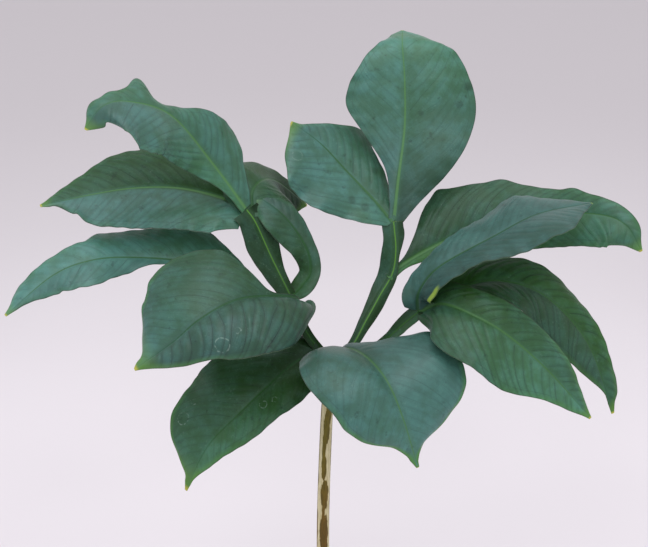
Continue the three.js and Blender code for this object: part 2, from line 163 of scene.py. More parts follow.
drill_line = [[0, -POT_FLOOR], [DRAIN_RADIUS, -POT_FLOOR], [DRAIN_RADIUS, 2 * POT_FLOOR], [0, 2 * POT_FLOOR]]
drill_faces = grid_faces(len(drill_line), DRAIN_SIDES, True)
for hole in range(DRAIN_HOLES):
    turn = 2 * math.pi * (hole + 0.5) / DRAIN_HOLES
    drill_points = turned(drill_line, DRAIN_SIDES)
    drill_points += [DRAIN_CIRCLE_RADIUS * math.cos(turn), DRAIN_CIRCLE_RADIUS * math.sin(turn), 0]
    drill = add_object("drill", drill_points.reshape(-1, 3), [drill_faces])
    close_poles(drill)
    cut = pot.modifiers.new("drain", "BOOLEAN")
    cut.object = drill
    cut.solver = "EXACT"
    whole = pot.data
    pot.data = bpy.data.meshes.new_from_object(pot.evaluated_get(bpy.context.evaluated_depsgraph_get()))
    pot.modifiers.clear()
    bpy.data.meshes.remove(whole)
    bpy.data.objects.remove(drill)
pot.data.set_sharp_from_angle(angle=POT_SHARP_ANGLE)


class Value:
    """A number, colour or vector inside a material, which turns Python's operators into Math nodes."""

    def __init__(self, finish, socket):
        self.finish = finish
        self.socket = socket

    def __add__(self, other):
        return self.finish.math("ADD", self, other)

    __radd__ = __add__

    def __sub__(self, other):
        return self.finish.math("SUBTRACT", self, other)

    def __rsub__(self, other):
        return self.finish.math("SUBTRACT", other, self)

    def __mul__(self, other):
        return self.finish.math("MULTIPLY", self, other)

    __rmul__ = __mul__

    def __truediv__(self, other):
        return self.finish.math("DIVIDE", self, other)

    def __abs__(self):
        return self.finish.math("ABSOLUTE", self)

    def share(self, low, high):
        """0 below low, 1 above high, and a smooth step between; low may be above high."""
        return self.finish.node("ShaderNodeMapRange", {"interpolation_type": "SMOOTHSTEP"},
                                {"Value": self, "From Min": low, "From Max": high})

    def to_line(self):
        """How far a running number is from the nearest whole number, from 0 to a half."""
        return abs(self.finish.math("FRACT", self + 0.5) - 0.5)


class Finish:
    """A material of one surface shader. Each of its other nodes comes from node()."""

    def __init__(self, name, **constants):
        self.material = bpy.data.materials.new(name)
        self.material.use_nodes = True
        self.tree = self.material.node_tree
        self.surface = self.tree.nodes["Principled BSDF"]
        self.paint(**constants)

    def feed(self, socket, value):
        if isinstance(value, Value):
            self.tree.links.new(value.socket, socket)
        else:
            socket.default_value = value

    def node(self, kind, settings=None, sockets=None, output=0):
        """Adds a node of a type, sets it up, then fills its sockets, and gives one of its outputs."""
        made = self.tree.nodes.new(kind)
        for key, setting in (settings or {}).items():
            setattr(made, key, setting)
        for key, value in (sockets or {}).items():
            self.feed(made.inputs[key], value)
        return Value(self, made.outputs[output])

    def math(self, operation, *operands):
        return self.node("ShaderNodeMath", {"operation": operation}, dict(enumerate(operands)))

    def place(self):
        return self.node("ShaderNodeTexCoord", output="Object")

    def height(self):
        """How high a place is above the pot's underside, in metres."""
        return self.node("ShaderNodeSeparateXYZ", {}, {0: self.place()}, output="Z")

    def drawn_out(self, share):
        """Object coordinates whose height counts by a share, which draws a pattern out upwards."""
        return self.node("ShaderNodeMapping", {}, {"Vector": self.place(), "Scale": (1, 1, share)})

    def noise(self, size, detail=3, rough=0.5, where=None):
        """Soft cloudy variation from 0 to 1, whose patches are about size millimetres wide."""
        return self.node("ShaderNodeTexNoise", {}, {
            "Vector": where or self.place(), "Scale": 1 / (size * MM), "Detail": detail, "Roughness": rough})

    def mix(self, amount, first, second, blend="MIX"):
        """A colour between two colours."""
        return self.node("ShaderNodeMix", {"data_type": "RGBA", "blend_type": blend},
                         {0: amount, 6: first, 7: second}, output=2)

    def kept(self, name):
        """Numbers that the mesh keeps at its points."""
        return self.node("ShaderNodeAttribute", {"attribute_name": name}, output="Fac")

    def bump(self, height, depth):
        """Feeds relief of up to depth millimetres to the surface."""
        self.paint(Normal=self.node("ShaderNodeBump", {}, {"Height": height, "Distance": depth * MM},
                                    output="Normal"))

    def paint(self, **sockets):
        """Feeds sockets of the surface, named with _ for each space."""
        for key, value in sockets.items():
            self.feed(self.surface.inputs[key.replace("_", " ")], value)


def tint(red, green, blue):
    """A colour from its 0 to 255 screen values, as the light shares that a shader takes."""
    screen = np.array([red, green, blue]) / 255
    light = np.where(screen > 0.04045, ((screen + 0.055) / 1.055) ** 2.4, screen / 12.92)
    return (*light.tolist(), 1.0)


RED_CLAY = tint(186, 104, 70)
BROWN_CLAY = tint(168, 88, 58)
CLAY_DUST = tint(206, 132, 96)
SALT_CRUST = tint(220, 190, 168)
fired = Finish("fired_clay", Specular_IOR_Level=0.3)
grain = fired.noise(1.1, 4, 0.7)
clouds = fired.noise(38, 4, 0.6)
crust = fired.noise(17, 6, 0.7)
height = fired.height()
turning = fired.node("ShaderNodeTexWave", {"bands_direction": "Z"},
                     {"Vector": fired.place(), "Scale": 160, "Distortion": 2.5, "Detail": 2})
clay = fired.mix(clouds.share(0.3, 0.7), RED_CLAY, BROWN_CLAY)
clay = fired.mix(grain.share(0.35, 0.75) * 0.35, clay, CLAY_DUST)
salt = crust.share(0.52, 0.72) * (height.share(0.07, 0.0) * 0.5 + height.share(0.1, 0.15) * 0.25)
clay = fired.mix(salt, clay, SALT_CRUST)
fired.paint(Base_Color=clay, Roughness=0.78 + grain * 0.15)
fired.bump(grain * 0.6 + turning * 0.5 + crust * 0.4, 0.25)
pot.data.materials.append(fired.material)
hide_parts("pot")
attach(pot, "root")


# Tuber: the storage organ that sleeps in the soil and sends up the stalk from a dimple in its top.
# Its corky brown skin is ringed with the scars of old scale leaves.
TUBER_RADIUS = 36
TUBER_HEIGHT = 50
TUBER_BOTTOM = 52
TUBER_DIMPLE_RADIUS = 12
TUBER_DIMPLE_DEPTH = 4
cork = Finish("tuber_cork", Specular_IOR_Level=0.2)
scars = cork.node("ShaderNodeTexWave", {"bands_direction": "Z"},
                  {"Vector": cork.place(), "Scale": 45, "Distortion": 3, "Detail": 3})
warts = cork.noise(6, 4, 0.6)
brown = cork.mix(warts.share(0.3, 0.7), tint(96, 66, 42), tint(142, 106, 72))
brown = cork.mix(scars.share(0.8, 1) * 0.6, brown, tint(70, 46, 30))
cork.paint(Base_Color=brown, Roughness=0.8 + warts * 0.15)
cork.bump(warts + scars * 0.5, 0.6)
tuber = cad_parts["tuber"]
tuber.data.materials.clear()
tuber.data.materials.append(cork.material)


# Stalk: one fleshy leaf stalk from the tuber to the hub where the leaf divides. It is smooth and
# cream, with long olive-brown blotches that run up it in chains, and turns green under the leaf.
HUB = [8, 0, 556]
STALK_FOOT_RADIUS = 8.5
STALK_WAIST_RADIUS = 6.3
STALK_TOP_RADIUS = 5.4
STALK_SIDES = 64
STALK_ROWS = 520
STALK_CROWN = 5
STALK_FLUTE = 0.012
FLUTE_TURN = 0.021
GAP = 0.3
LINE_SAMPLES = 201
HEADING_STEP = 1e-3

# The blotches of the front: [height, degrees round from the front, half height, half width]. Chains of
# random blotches run up the back, and all round the stalk below the height PLACED_FROM.
BLOTCHES = [
    [514, 20, 18, 3.2], [496, 6, 19, 3], [473, -12, 20, 1.8], [453, -8, 15, 2.6], [425, 10, 16, 3.9],
    [402, 0, 12, 1.5], [382, 8, 22, 4.2], [500, -78, 42, 1.8], [480, 80, 34, 1.6], [440, -82, 34, 1.8],
    [408, 84, 26, 1.8], [385, -76, 24, 1.8],
]
BLOTCH_CHAINS = 6
BLOTCH_SEED = 3
CHAIN_START = 140
CHAIN_WANDER = 14
PLACED_FROM = 360
BACK_FROM = 95
BACK_TO = 265


def smooth_line(points, t):
    """A curve through the points for t from 0 to 1: between two points it is the cubic whose slope at
    each is half the step between that point's neighbours. The end points are carried on straight."""
    p = np.asarray(points, float)
    p = np.vstack([2 * p[0] - p[1], p, 2 * p[-1] - p[-2]])
    x = np.clip(t, 0, 1) * (len(p) - 3)
    i = np.minimum(x.astype(int), len(p) - 4)
    f = (x - i)[:, None]
    a, b, c, d = p[i], p[i + 1], p[i + 2], p[i + 3]
    square = 2 * a - 5 * b + 4 * c - d
    cube = 3 * b - a - 3 * c + d
    return 0.5 * (2 * b + (c - a) * f + square * f ** 2 + cube * f ** 3)


def unit(vectors):
    return vectors / np.linalg.norm(vectors, axis=-1, keepdims=True)


def along_line(points, s):
    """Points and unit directions at the shares s of a smooth curve's length, and its length. Beyond
    0 and 1 the curve is carried on straight."""
    t = np.linspace(0, 1, LINE_SAMPLES)
    marks = np.concatenate([[0], np.cumsum(np.linalg.norm(np.diff(smooth_line(points, t), axis=0), axis=1))])

    def at(share):
        return smooth_line(points, np.interp(share * marks[-1], marks, t))

    inner = np.clip(s, 0, 1)
    heading = unit(at(np.clip(inner + HEADING_STEP, 0, 1)) - at(np.clip(inner - HEADING_STEP, 0, 1)))
    return at(inner) + heading * ((s - inner) * marks[-1])[:, None], heading, marks[-1]


dimple_angle = math.acos(TUBER_DIMPLE_RADIUS / TUBER_RADIUS)
dimple_floor = TUBER_BOTTOM + TUBER_HEIGHT / 2 * (1 + math.sin(dimple_angle)) - TUBER_DIMPLE_DEPTH
stalk_route = [[0, 0, dimple_floor + GAP], [0, 1, 180], [1, 2, 290], [1, 2, 400], [4, 1, 500], HUB]
stalk_length = along_line(stalk_route, np.zeros(1))[2]
stalk_share = np.linspace(0, 1 + STALK_CROWN / stalk_length, STALK_ROWS)
stalk_middle, stalk_along, _ = along_line(stalk_route, stalk_share)
stalk_side = unit(np.cross([1.0, 0, 0], stalk_along))
stalk_front = np.cross(stalk_along, stalk_side)


def stalk_radius(s):
    """The radius falls evenly from waist to top, and swells towards the foot by the fourth power."""
    swelling = (STALK_FOOT_RADIUS - STALK_WAIST_RADIUS) * (1 - s) ** 4
    return STALK_WAIST_RADIUS + (STALK_TOP_RADIUS - STALK_WAIST_RADIUS) * s + swelling


def tube(middle, side, front, radius, sides, flute):
    """Rings of points round a line. Their radius waves by the share flute in three lobes, and by less in
    five, and the lobes turn slowly from ring to ring."""
    angle = np.linspace(0, 2 * math.pi, sides, endpoint=False)
    turn = np.arange(len(middle))[:, None] * FLUTE_TURN
    lobes = np.sin(3 * angle + turn) + 0.6 * np.sin(5 * angle - 2.3 * turn)
    reach = radius[:, None] * (1 + flute * lobes)
    out = np.cos(angle)[None, :, None] * side[:, None] + np.sin(angle)[None, :, None] * front[:, None]
    return middle[:, None] + out * reach[..., None]


past_hub = np.clip((stalk_share - 1) * stalk_length / STALK_CROWN, 0, 1)
crown = np.sqrt(np.maximum(0, 1 - past_hub ** 2))
crown[0] = 0
stalk_radii = stalk_radius(np.clip(stalk_share, 0, 1))
stalk_points = tube(stalk_middle, stalk_side, stalk_front, stalk_radii * crown, STALK_SIDES, STALK_FLUTE)


def blotch_field(blotches, height, turn, radius):
    """1 in the middle of a blotch [height, degrees from the front, half height, half width], falling by the
    square of the distance to 0 at its edge and below that outside."""
    field = np.full((len(height), len(turn)), -1.0)
    for middle, side, half_height, half_width in blotches:
        round_it = (turn - math.radians(side) + math.pi) % (2 * math.pi) - math.pi
        beside = radius[:, None] * round_it / half_width
        above = (height[:, None] - middle) / half_height
        field = np.maximum(field, 1 - (beside ** 2 + above ** 2))
    return field


chance = np.random.default_rng(BLOTCH_SEED)
blotches = list(BLOTCHES)
for chain in range(BLOTCH_CHAINS):
    climb = CHAIN_START + chance.uniform(0, 20)
    while climb < HUB[2]:
        side = chain * 360 / BLOTCH_CHAINS + chance.uniform(-CHAIN_WANDER, CHAIN_WANDER)
        if climb < PLACED_FROM or BACK_FROM < side < BACK_TO:
            blotches.append([climb, side, chance.uniform(8, 20), chance.uniform(1.3, 3.4)])
        climb += chance.uniform(16, 34)
stalk_turn = np.linspace(0, 2 * math.pi, STALK_SIDES, endpoint=False)
stalk = add_object("stalk", stalk_points.reshape(-1, 3), [grid_faces(STALK_ROWS, STALK_SIDES, True)],
                   {"blotch": blotch_field(blotches, stalk_middle[:, 2], stalk_turn, stalk_radii)})
close_poles(stalk)

skin = Finish("mottled_stalk_skin", Specular_IOR_Level=0.3)
height = skin.height()
smear = skin.noise(2.2, 3, 0.6, skin.drawn_out(0.22))
thread = skin.noise(0.8, 2, 0.6, skin.drawn_out(0.04))
blotch = skin.kept("blotch") + (smear - 0.5) * 1.8
cream = skin.mix(smear.share(0.3, 0.7), tint(218, 208, 168), tint(190, 180, 136))
cream = skin.mix(height.share(0.5, 0.15) * 0.35, cream, tint(170, 150, 104))
cream = skin.mix(thread.share(0.4, 0.7) * 0.2, cream, tint(236, 230, 196))
olive = skin.mix(height.share(0.36, 0.5), tint(108, 78, 16), tint(112, 100, 18))
olive = skin.mix(smear.share(0.35, 0.65) * 0.5, olive, tint(66, 58, 12))
coat = skin.mix(blotch.share(-0.5, 0.1) * 0.3, cream, tint(176, 156, 84))
coat = skin.mix(blotch.share(0.0, 0.16), coat, olive)
coat = skin.mix(height.share(0.535, 0.562) * 0.85, coat, tint(96, 128, 70))
skin.paint(Base_Color=coat, Roughness=0.42 + smear * 0.15)
skin.bump(thread + smear * 0.5, 0.15)
stalk.data.materials.append(skin.material)
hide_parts("petiole")
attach(stalk, "root")


# Potting mix: dark compost with bark chips and grains of white perlite, pressed in round the tuber
# and the foot of the stalk. It is solid below, and loose crumbs lie all over its top.
SOIL_BELOW_RIM = 18
SOIL_MOUND = 5
SOIL_LUMP = 1.3
SOIL_WAVES = [(17, 9, 1), (7, 11, 0.55), (3.6, 11, 0.3)]
CALM_EDGE = 3
CALMEST = 0.2
SOIL_SIDES = 220
SOIL_ROWS = 64
HOLLOW_ROWS = 24
DIMPLE_SHOULDER = 2
CRUMBS = 620
CRUMB_SIZES = [0.8, 2.2]
CRUMB_WIDTHS = [0.5, 0.9]
CRUMB_CORNERS = [0.78, 1.22]
CRUMB_LEAN = 0.5
CRUMB_WALL_ROOM = 3
CRUMB_STALK_ROOM = 2
PERLITE_SHARE = 0.1
BARK_SHARE = 0.3
BARK_GROWTH = 1.7
BARK_FLATNESS = 0.35
GRAIN_FLATNESS = 0.75
SEED = 7
draw = np.random.default_rng(SEED)


def unevenness(x, y, size, waves, draws):
    """Seeded rolling relief, mostly between -1 and 1: a sum of sine waves in random directions, whose
    lengths lie between 0.6 and 1.6 times size."""
    heading, phase = draws.uniform(0, 2 * math.pi, (2, waves))
    pace = 2 * math.pi / (size * draws.uniform(0.6, 1.6, waves))
    slope = x[..., None] * np.cos(heading) + y[..., None] * np.sin(heading)
    return np.sin(slope * pace + phase).sum(-1) / math.sqrt(waves)


def spun(points, angle, first, second):
    """The points, turned by the angle in the plane of two of the axes."""
    moved = points.copy()
    moved[..., first] = points[..., first] * np.cos(angle) - points[..., second] * np.sin(angle)
    moved[..., second] = points[..., first] * np.sin(angle) + points[..., second] * np.cos(angle)
    return moved


soil_level = POT_HEIGHT - SOIL_BELOW_RIM
soil_bottom = POT_FLOOR + GAP
soil_edge = pot_inner_radius(soil_level) - GAP
hole_radius = STALK_FOOT_RADIUS + GAP
surface_radius = np.linspace(soil_edge, hole_radius, SOIL_ROWS)
surface_height = soil_level + SOIL_MOUND * (1 - (surface_radius / soil_edge) ** 2)
around = np.linspace(dimple_angle, -math.pi / 2, HOLLOW_ROWS)
hollow_line = np.stack([(TUBER_RADIUS + GAP) * np.cos(around),
                        TUBER_BOTTOM + TUBER_HEIGHT / 2 + (TUBER_HEIGHT / 2 + GAP) * np.sin(around)], -1)
hollow_line[-1, 0] = 0
soil_line = np.concatenate([
    [[0, soil_bottom], [pot_inner_radius(soil_bottom) - GAP, soil_bottom]],
    np.stack([surface_radius, surface_height], -1),
    [[hole_radius, dimple_floor + GAP], [TUBER_DIMPLE_RADIUS - DIMPLE_SHOULDER, dimple_floor + GAP]],
    hollow_line,
])
soil_points = turned(soil_line, SOIL_SIDES)
top = slice(2, 2 + SOIL_ROWS)
x, y = soil_points[top, :, 0], soil_points[top, :, 1]
lumps = sum(share * unevenness(x, y, length, waves, draw) for length, waves, share in SOIL_WAVES)
calm = np.clip((soil_edge - surface_radius)[:, None] / CALM_EDGE, CALMEST, 1)
soil_points[top, :, 2] += SOIL_LUMP * lumps * calm

icosahedron_z = 1 / math.sqrt(5)
belt = np.arange(5) * 2 * math.pi / 5
belts = [np.stack([2 * icosahedron_z * np.cos(angle), 2 * icosahedron_z * np.sin(angle), np.full(5, z)], -1)
         for angle, z in ((belt, icosahedron_z), (belt + math.pi / 5, -icosahedron_z))]
grain_points = np.concatenate([[[0, 0, 1]], *belts, [[0, 0, -1]]])
grain_corners = len(grain_points)
here = np.arange(5)
beside = (here + 1) % 5
grain_faces = np.concatenate([
    np.stack([np.zeros(5, int), 1 + here, 1 + beside], -1),
    np.stack([1 + here, 6 + here, 1 + beside], -1),
    np.stack([1 + beside, 6 + here, 6 + beside], -1),
    np.stack([6 + here, np.full(5, grain_corners - 1), 6 + beside], -1),
])
nearest = (hole_radius + CRUMB_STALK_ROOM) ** 2
furthest = (soil_edge - CRUMB_WALL_ROOM) ** 2
spot_radius = np.sqrt(draw.uniform(nearest, furthest, CRUMBS))
spot_angle = draw.uniform(0, 2 * math.pi, CRUMBS)
kind = draw.uniform(0, 1, CRUMBS)
perlite = kind < PERLITE_SHARE
bark = kind > 1 - BARK_SHARE
size = draw.uniform(*CRUMB_SIZES, CRUMBS) * np.where(bark, BARK_GROWTH, 1)
thickness = size * np.where(bark, BARK_FLATNESS, GRAIN_FLATNESS)
shape = np.stack([size, size * draw.uniform(*CRUMB_WIDTHS, CRUMBS), thickness], -1)
knobs = draw.uniform(*CRUMB_CORNERS, (CRUMBS, grain_corners, 1))
lump_points = grain_points[None] * shape[:, None] * knobs
spin, lean = draw.uniform(0, 2 * math.pi, (2, CRUMBS, 1))
lump_points = spun(spun(lump_points, np.sin(lean) * CRUMB_LEAN, 0, 2), spin, 0, 1)
row = np.round((soil_edge - spot_radius) / (soil_edge - hole_radius) * (SOIL_ROWS - 1)).astype(int)
column = np.round(spot_angle / (2 * math.pi) * SOIL_SIDES).astype(int) % SOIL_SIDES
lump_points += soil_points[top][row, column][:, None]
soil_count = len(soil_line) * SOIL_SIDES
crumb_faces = soil_count + np.arange(CRUMBS)[:, None, None] * grain_corners + grain_faces[None]
white = np.concatenate([np.zeros(soil_count), np.repeat(perlite, grain_corners)])
woodiness = np.where(bark, draw.uniform(0.4, 1, CRUMBS), 0)
woody = np.concatenate([np.zeros(soil_count), np.repeat(woodiness, grain_corners)])
soil = add_object("potting_mix", np.concatenate([soil_points.reshape(-1, 3), lump_points.reshape(-1, 3)]),
                  [grid_faces(len(soil_line), SOIL_SIDES, True), crumb_faces.reshape(-1, 3)],
                  {"perlite": white, "bark": woody})
close_poles(soil)

compost = Finish("moist_potting_mix", Specular_IOR_Level=0.25)
crumb = compost.noise(2.4, 6, 0.75)
damp = compost.noise(30, 3, 0.5)
fibre = compost.noise(0.7, 3, 0.7)
earth = compost.mix(crumb.share(0.35, 0.7), tint(38, 27, 20), tint(84, 62, 46))
earth = compost.mix(damp.share(0.4, 0.7) * 0.4, earth, tint(30, 22, 17))
bark_brown = compost.mix(fibre, tint(92, 58, 36), tint(146, 100, 66))
earth = compost.mix(compost.kept("bark") * 0.8, earth, bark_brown)
perlite_white = compost.mix(crumb, tint(206, 200, 188), tint(238, 234, 226))
earth = compost.mix(compost.kept("perlite"), earth, perlite_white)
compost.paint(Base_Color=earth, Roughness=0.8 + crumb * 0.2)
compost.bump(crumb + fibre * 0.5, 0.8)
soil.data.materials.append(compost.material)
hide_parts("soil")
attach(soil, "root")


# Winged ribs: the leaf divides in three at the top of the stalk. Each branch is a round green rib
# with a narrow blade along both sides, all of one living piece, which the leaflets grow from. Ribs
# and leaflets are one kind of tissue, so both are grown and finished by what is defined here.
LIGHT_DIRECTION = np.array([0, -0.5, 0.866])
STATIONS = [0, 0.1, 0.25, 0.42, 0.6, 0.77, 0.91, 0.965, 1]
# Keys of the tones: the green level, which also carries painted light and shade, and the grey wax, which also
# carries painted sheen.
TONES = ["green_and_painted_light", "wax_and_painted_sheen"]
MARGIN_WAVES = {"left": (2, 3, 0), "right": (2, 2.5, 0.3)}
WIDTH_SAMPLES = 400
TIP_HALF_WIDTH = 0.8
DRIP_TIP = 0.38
BLUNT_END = 1.0
FULL_WAVE_WIDTH = 12
BLADE_TOP = 0.15
BLADE_THICKNESS = 0.55
BLADE_SHARP_ANGLE = math.radians(60)
RIB_COLUMNS = 8
GROOVE_DEPTH = 0.3
KEEL_FULLNESS = 0.96
ROW_CROWDING = 1.15
STRIP_CROWDING = 0.93
VEIN_SPACING = 10.5
LEAN = 0.85
CURVE = 0.45
MARGIN_VEIN = 0.88
VEIN_STRAY = 0.2
STRAY_LENGTH = 7
SWELL_POWER = 1.3
SWELL_LEVEL = 0.45
SWELL_PATCH = 34
ROOM_POWER = 0.6
FRILL_HEIGHT = 0.5
SWAY_HEIGHT = 0.9
SWAY_LENGTH = 48
SWAY_WAVES = 7
RELIEF_WAVES = 5
FRINGE_START = 0.5
FRINGE_GROWTH = 0.35
FAR = 99


def half_widths(shape, end, s):
    """Half width at the shares s of the midrib: a smooth curve through the widths at the stations, plus
    bell curves for the swellings and nicks [place, millimetres, spread] of the margin. The last station
    before the point is narrowed to a drip tip, unless the blade runs on into others."""
    widths = shape["widths"]
    ends = [*widths, widths[-1] * end, TIP_HALF_WIDTH if end < BLUNT_END else widths[-1]]
    q = smooth_line(np.stack([STATIONS, ends], -1), np.linspace(0, 1, WIDTH_SAMPLES))
    width = np.interp(s, q[:, 0], q[:, 1])
    for place, swelling, spread in shape["nicks"]:
        width = width + swelling * np.exp(-(((s - place) / spread) ** 2))
    return np.maximum(width, TIP_HALF_WIDTH)


def blend(pair, s):
    return pair[0] + (pair[1] - pair[0]) * s


def half_blade(blade, side, s, length, u, draws):
    """One half of a blade at the shares s along and u across. It leaves the rib at the fold angle, bends
    down by the curl angle towards its margin and waves there, and bulges between its side veins: the
    bulge follows a power of the sine of the vein number, and is stronger in some places than others. A
    fine frill grows by the fifth power of u, and a slow sway by the power one and a half."""
    shape = blade[side]
    widths = half_widths(shape, blade["end"], s)[:, None]
    fold = np.radians(blend(shape["fold"], s))[:, None]
    bend = math.radians(shape["curl"]) * u[None]
    chord = widths * u * np.where(bend > 1e-6, np.sin(bend / 2) / np.maximum(bend / 2, 1e-9), 1)
    run = s[:, None] * length
    height, cycles, phase = shape["wave"] or MARGIN_WAVES[side]
    narrow = np.minimum(1, widths / FULL_WAVE_WIDTH)
    wave = height * np.sin(2 * math.pi * (cycles * s[:, None] + phase)) * narrow
    forward = widths * (shape["lean"] * u + CURVE * u ** 3)
    vein = (run - forward) / VEIN_SPACING + draws.uniform(0, 1)
    vein = vein + VEIN_STRAY * unevenness(vein * 4, widths * u / 9, STRAY_LENGTH, RELIEF_WAVES, draws)
    swell = np.abs(np.sin(math.pi * vein)) ** SWELL_POWER - SWELL_LEVEL
    swell = swell * (0.75 + 0.5 * unevenness(vein * 9, widths * u, SWELL_PATCH, RELIEF_WAVES, draws))
    room = np.sin(math.pi * np.minimum(u / MARGIN_VEIN, 1)) ** ROOM_POWER * narrow
    frill = np.sin(2 * math.pi * (run / blade["frill"] + draws.uniform(0, 1)))
    sway = unevenness(np.broadcast_to(run, vein.shape), widths * u, SWAY_LENGTH, SWAY_WAVES, draws)
    relief = shape["quilt"] * swell * room + FRILL_HEIGHT * frill * u ** 5 * narrow
    relief = relief + SWAY_HEIGHT * sway * u ** 1.5 * narrow
    own = ["left", "right"].index(side)
    return {
        "x": chord * np.cos(fold - bend / 2),
        "back": shape["lobe"] * u * (1 - s[:, None]) ** 3,
        "z": chord * np.sin(fold - bend / 2) + wave * u * u + relief * np.cos(fold - bend),
        "vein": vein,
        "quilting": np.full_like(vein, shape["quilt"]),
        "from_rib": widths * u + blend(blade["radii"], s)[:, None],
        "from_edge": widths * (1 - u),
        **{key: np.broadcast_to(blend(blade[key][own], s)[:, None], vein.shape) for key in TONES},
    }


def blade_object(name, blade, rows, strips, draws):
    """A closed thin sheet round a rib: the upper face, a round keel under the rib, and a shallow groove
    above it. Each row is a ring that runs over the top from left to right and back underneath. Left and
    right are as the light sees the blade with its point up, and roll turns it about its rib."""
    s = 1 - (1 - np.linspace(0, 1, rows + 1)) ** ROW_CROWDING
    middle, along, length = along_line(blade["rib"], s)
    flat = unit(np.cross(along, LIGHT_DIRECTION))
    lift = np.cross(flat, along)
    roll = np.radians(blend(blade["roll"], s))[:, None]
    across = flat * np.cos(roll) + lift * np.sin(roll)
    above = lift * np.cos(roll) - flat * np.sin(roll)
    radius = blend(blade["radii"], s)[:, None]

    u = np.linspace(0, 1, strips + 1)[1:] ** STRIP_CROWDING
    left = half_blade(blade, "left", s, length, u, draws)
    right = half_blade(blade, "right", s, length, u, draws)
    rib = np.linspace(-1, 1, RIB_COLUMNS + 1)[None]
    groove = -GROOVE_DEPTH * radius * (1 - rib ** 2)
    keel_depth = np.maximum(0, 2 * radius - BLADE_THICKNESS)
    keel = np.sqrt(np.maximum(0, 1 - (rib * KEEL_FULLNESS) ** 2)) * keel_depth
    none = np.zeros_like(groove)

    def joined(key, middle_columns):
        return np.concatenate([left[key][:, ::-1], middle_columns, right[key]], 1)

    def ringed(over, beneath):
        return np.concatenate([over, beneath[:, ::-1]], 1)

    x = np.concatenate([-(radius + left["x"][:, ::-1]), rib * radius, radius + right["x"]], 1)
    top = joined("z", groove) - BLADE_TOP
    bottom = joined("z", groove - keel) - BLADE_TOP - BLADE_THICKNESS
    back = joined("back", none)
    ring_x = ringed(x, x)[..., None]
    ring_z = ringed(top, bottom)[..., None]
    ring_back = ringed(back, back)[..., None]
    points = middle[:, None] + across[:, None] * ring_x + above[:, None] * ring_z - along[:, None] * ring_back

    green_and_painted_light, wax_and_painted_sheen = [
        joined(key, np.repeat((left[key][:, :1] + right[key][:, :1]) / 2, RIB_COLUMNS + 1, 1))
        for key in TONES]
    fringe = blade["fringe"] * np.clip((s - FRINGE_START) / FRINGE_GROWTH, 0, 1)
    half_ring = {
        "vein": joined("vein", none),
        "quilting": joined("quilting", none),
        "from_rib": joined("from_rib", np.abs(rib * radius)),
        "from_edge": joined("from_edge", np.full_like(groove, FAR)),
        "from_tip": (length - np.broadcast_to(s[:, None] * length, x.shape)) / blade["lime"],
        "fringe": np.broadcast_to(fringe[:, None], x.shape),
        "rib_width": np.broadcast_to(radius, x.shape),
        "green_and_painted_light": green_and_painted_light,
        "wax_and_painted_sheen": wax_and_painted_sheen,
        "wax_gloss": wax_and_painted_sheen * blade["gloss"],
    }
    values = {key: ringed(v, v) for key, v in half_ring.items()}
    values["underside"] = ringed(np.zeros_like(x), np.ones_like(x))
    values["pale_rib"] = np.broadcast_to(blend(blade["pale_rib"], s)[:, None], ring_x.shape[:2])
    count = 2 * x.shape[1]
    j = np.arange(x.shape[1] - 1)
    cap = np.stack([j, j + 1, count - 2 - j, count - 1 - j], -1)
    faces = np.concatenate([grid_faces(rows + 1, count, True), cap[:, ::-1], rows * count + cap])
    made = add_object(name, points.reshape(-1, 3), [faces], values)
    made.data.set_sharp_from_angle(angle=BLADE_SHARP_ANGLE)
    return made


def half(widths, fold=(18, 10), curl=30, wave=None, quilt=0.4, lobe=0, nicks=(), lean=LEAN):
    """What one half of a blade is like: its half widths at the first seven stations, its fold at base and
    tip and its curl in degrees, the height, number and start of the waves of its margin unless they are
    as on most blades, the height of its quilting, how far its base reaches back past the rib, its
    swellings and nicks, and how far its side veins lean forward."""
    return {"widths": widths, "fold": fold, "curl": curl, "wave": wave, "quilt": quilt, "lobe": lobe,
            "nicks": nicks, "lean": lean}


# Tones of the upper face: how light its green is, and how much grey wax lies on it. The green level is partly
# the blade's own
# green and partly painted light and shade: lighter where a half lies open to the light, darker where it lies
# in the shade of others. The grey is partly real wax and partly painted sheen. A blade has four of each, for
# the base and the tip of its left half and then of its right half.
DEEP = 0.4
DARK = 0.8
MIDDLE = 1.3
FRESH = 1.9
PALE = 2.6
BARE = 0
THIN = 0.35
EVEN = 0.65
THICK = 1

# Rings that drops of water left, each [x, y, z, radius, strength], and dark spots [x, y, z, radius].
WATER_RINGS = [
    [-85, -85, 620, 6.5, 0.4], [-72, -78, 631, 2.6, 0.4], [-63, -78, 630, 2, 0.4],
    [-124, -36, 522, 5.5, 0.4], [-114, -29, 535, 2.5, 0.4], [-52, -49, 543, 3.5, 0.35],
    [-42, -47, 547, 2.5, 0.35], [-22, 80, 728, 5, 0.2], [1.5, -56, 598, 1.5, 0.7],
]
DARK_SPOTS = [
    [48, 99, 705, 4], [27, 72, 688, 5], [39, 71, 681, 5], [125, 117, 763, 4.5], [133, 127, 777, 5.5],
    [112, 97, 721, 4], [90, 113, 756, 4],
]
# Middle of the painted highlight on a rolled-over leaflet edge.
ROLLED_EDGE_HIGHLIGHT = [99, -33, 643]
FINE_VEINS = 7
MARGIN_VEIN_INSET = 6
BARE_GREEN = tint(38, 72, 26)
WAX_AND_SHEEN_GREY = tint(46, 80, 74)
MARGIN_GREEN = tint(82, 136, 52)
MIDRIB_GREEN = tint(30, 70, 28)
PALE_MIDRIB = tint(94, 140, 80)
PALE_BRANCH = tint(96, 148, 52)
TIP_GREEN = tint(92, 134, 50)
TIP_YELLOW = tint(176, 172, 70)
EDGE_BROWN = tint(46, 42, 30)

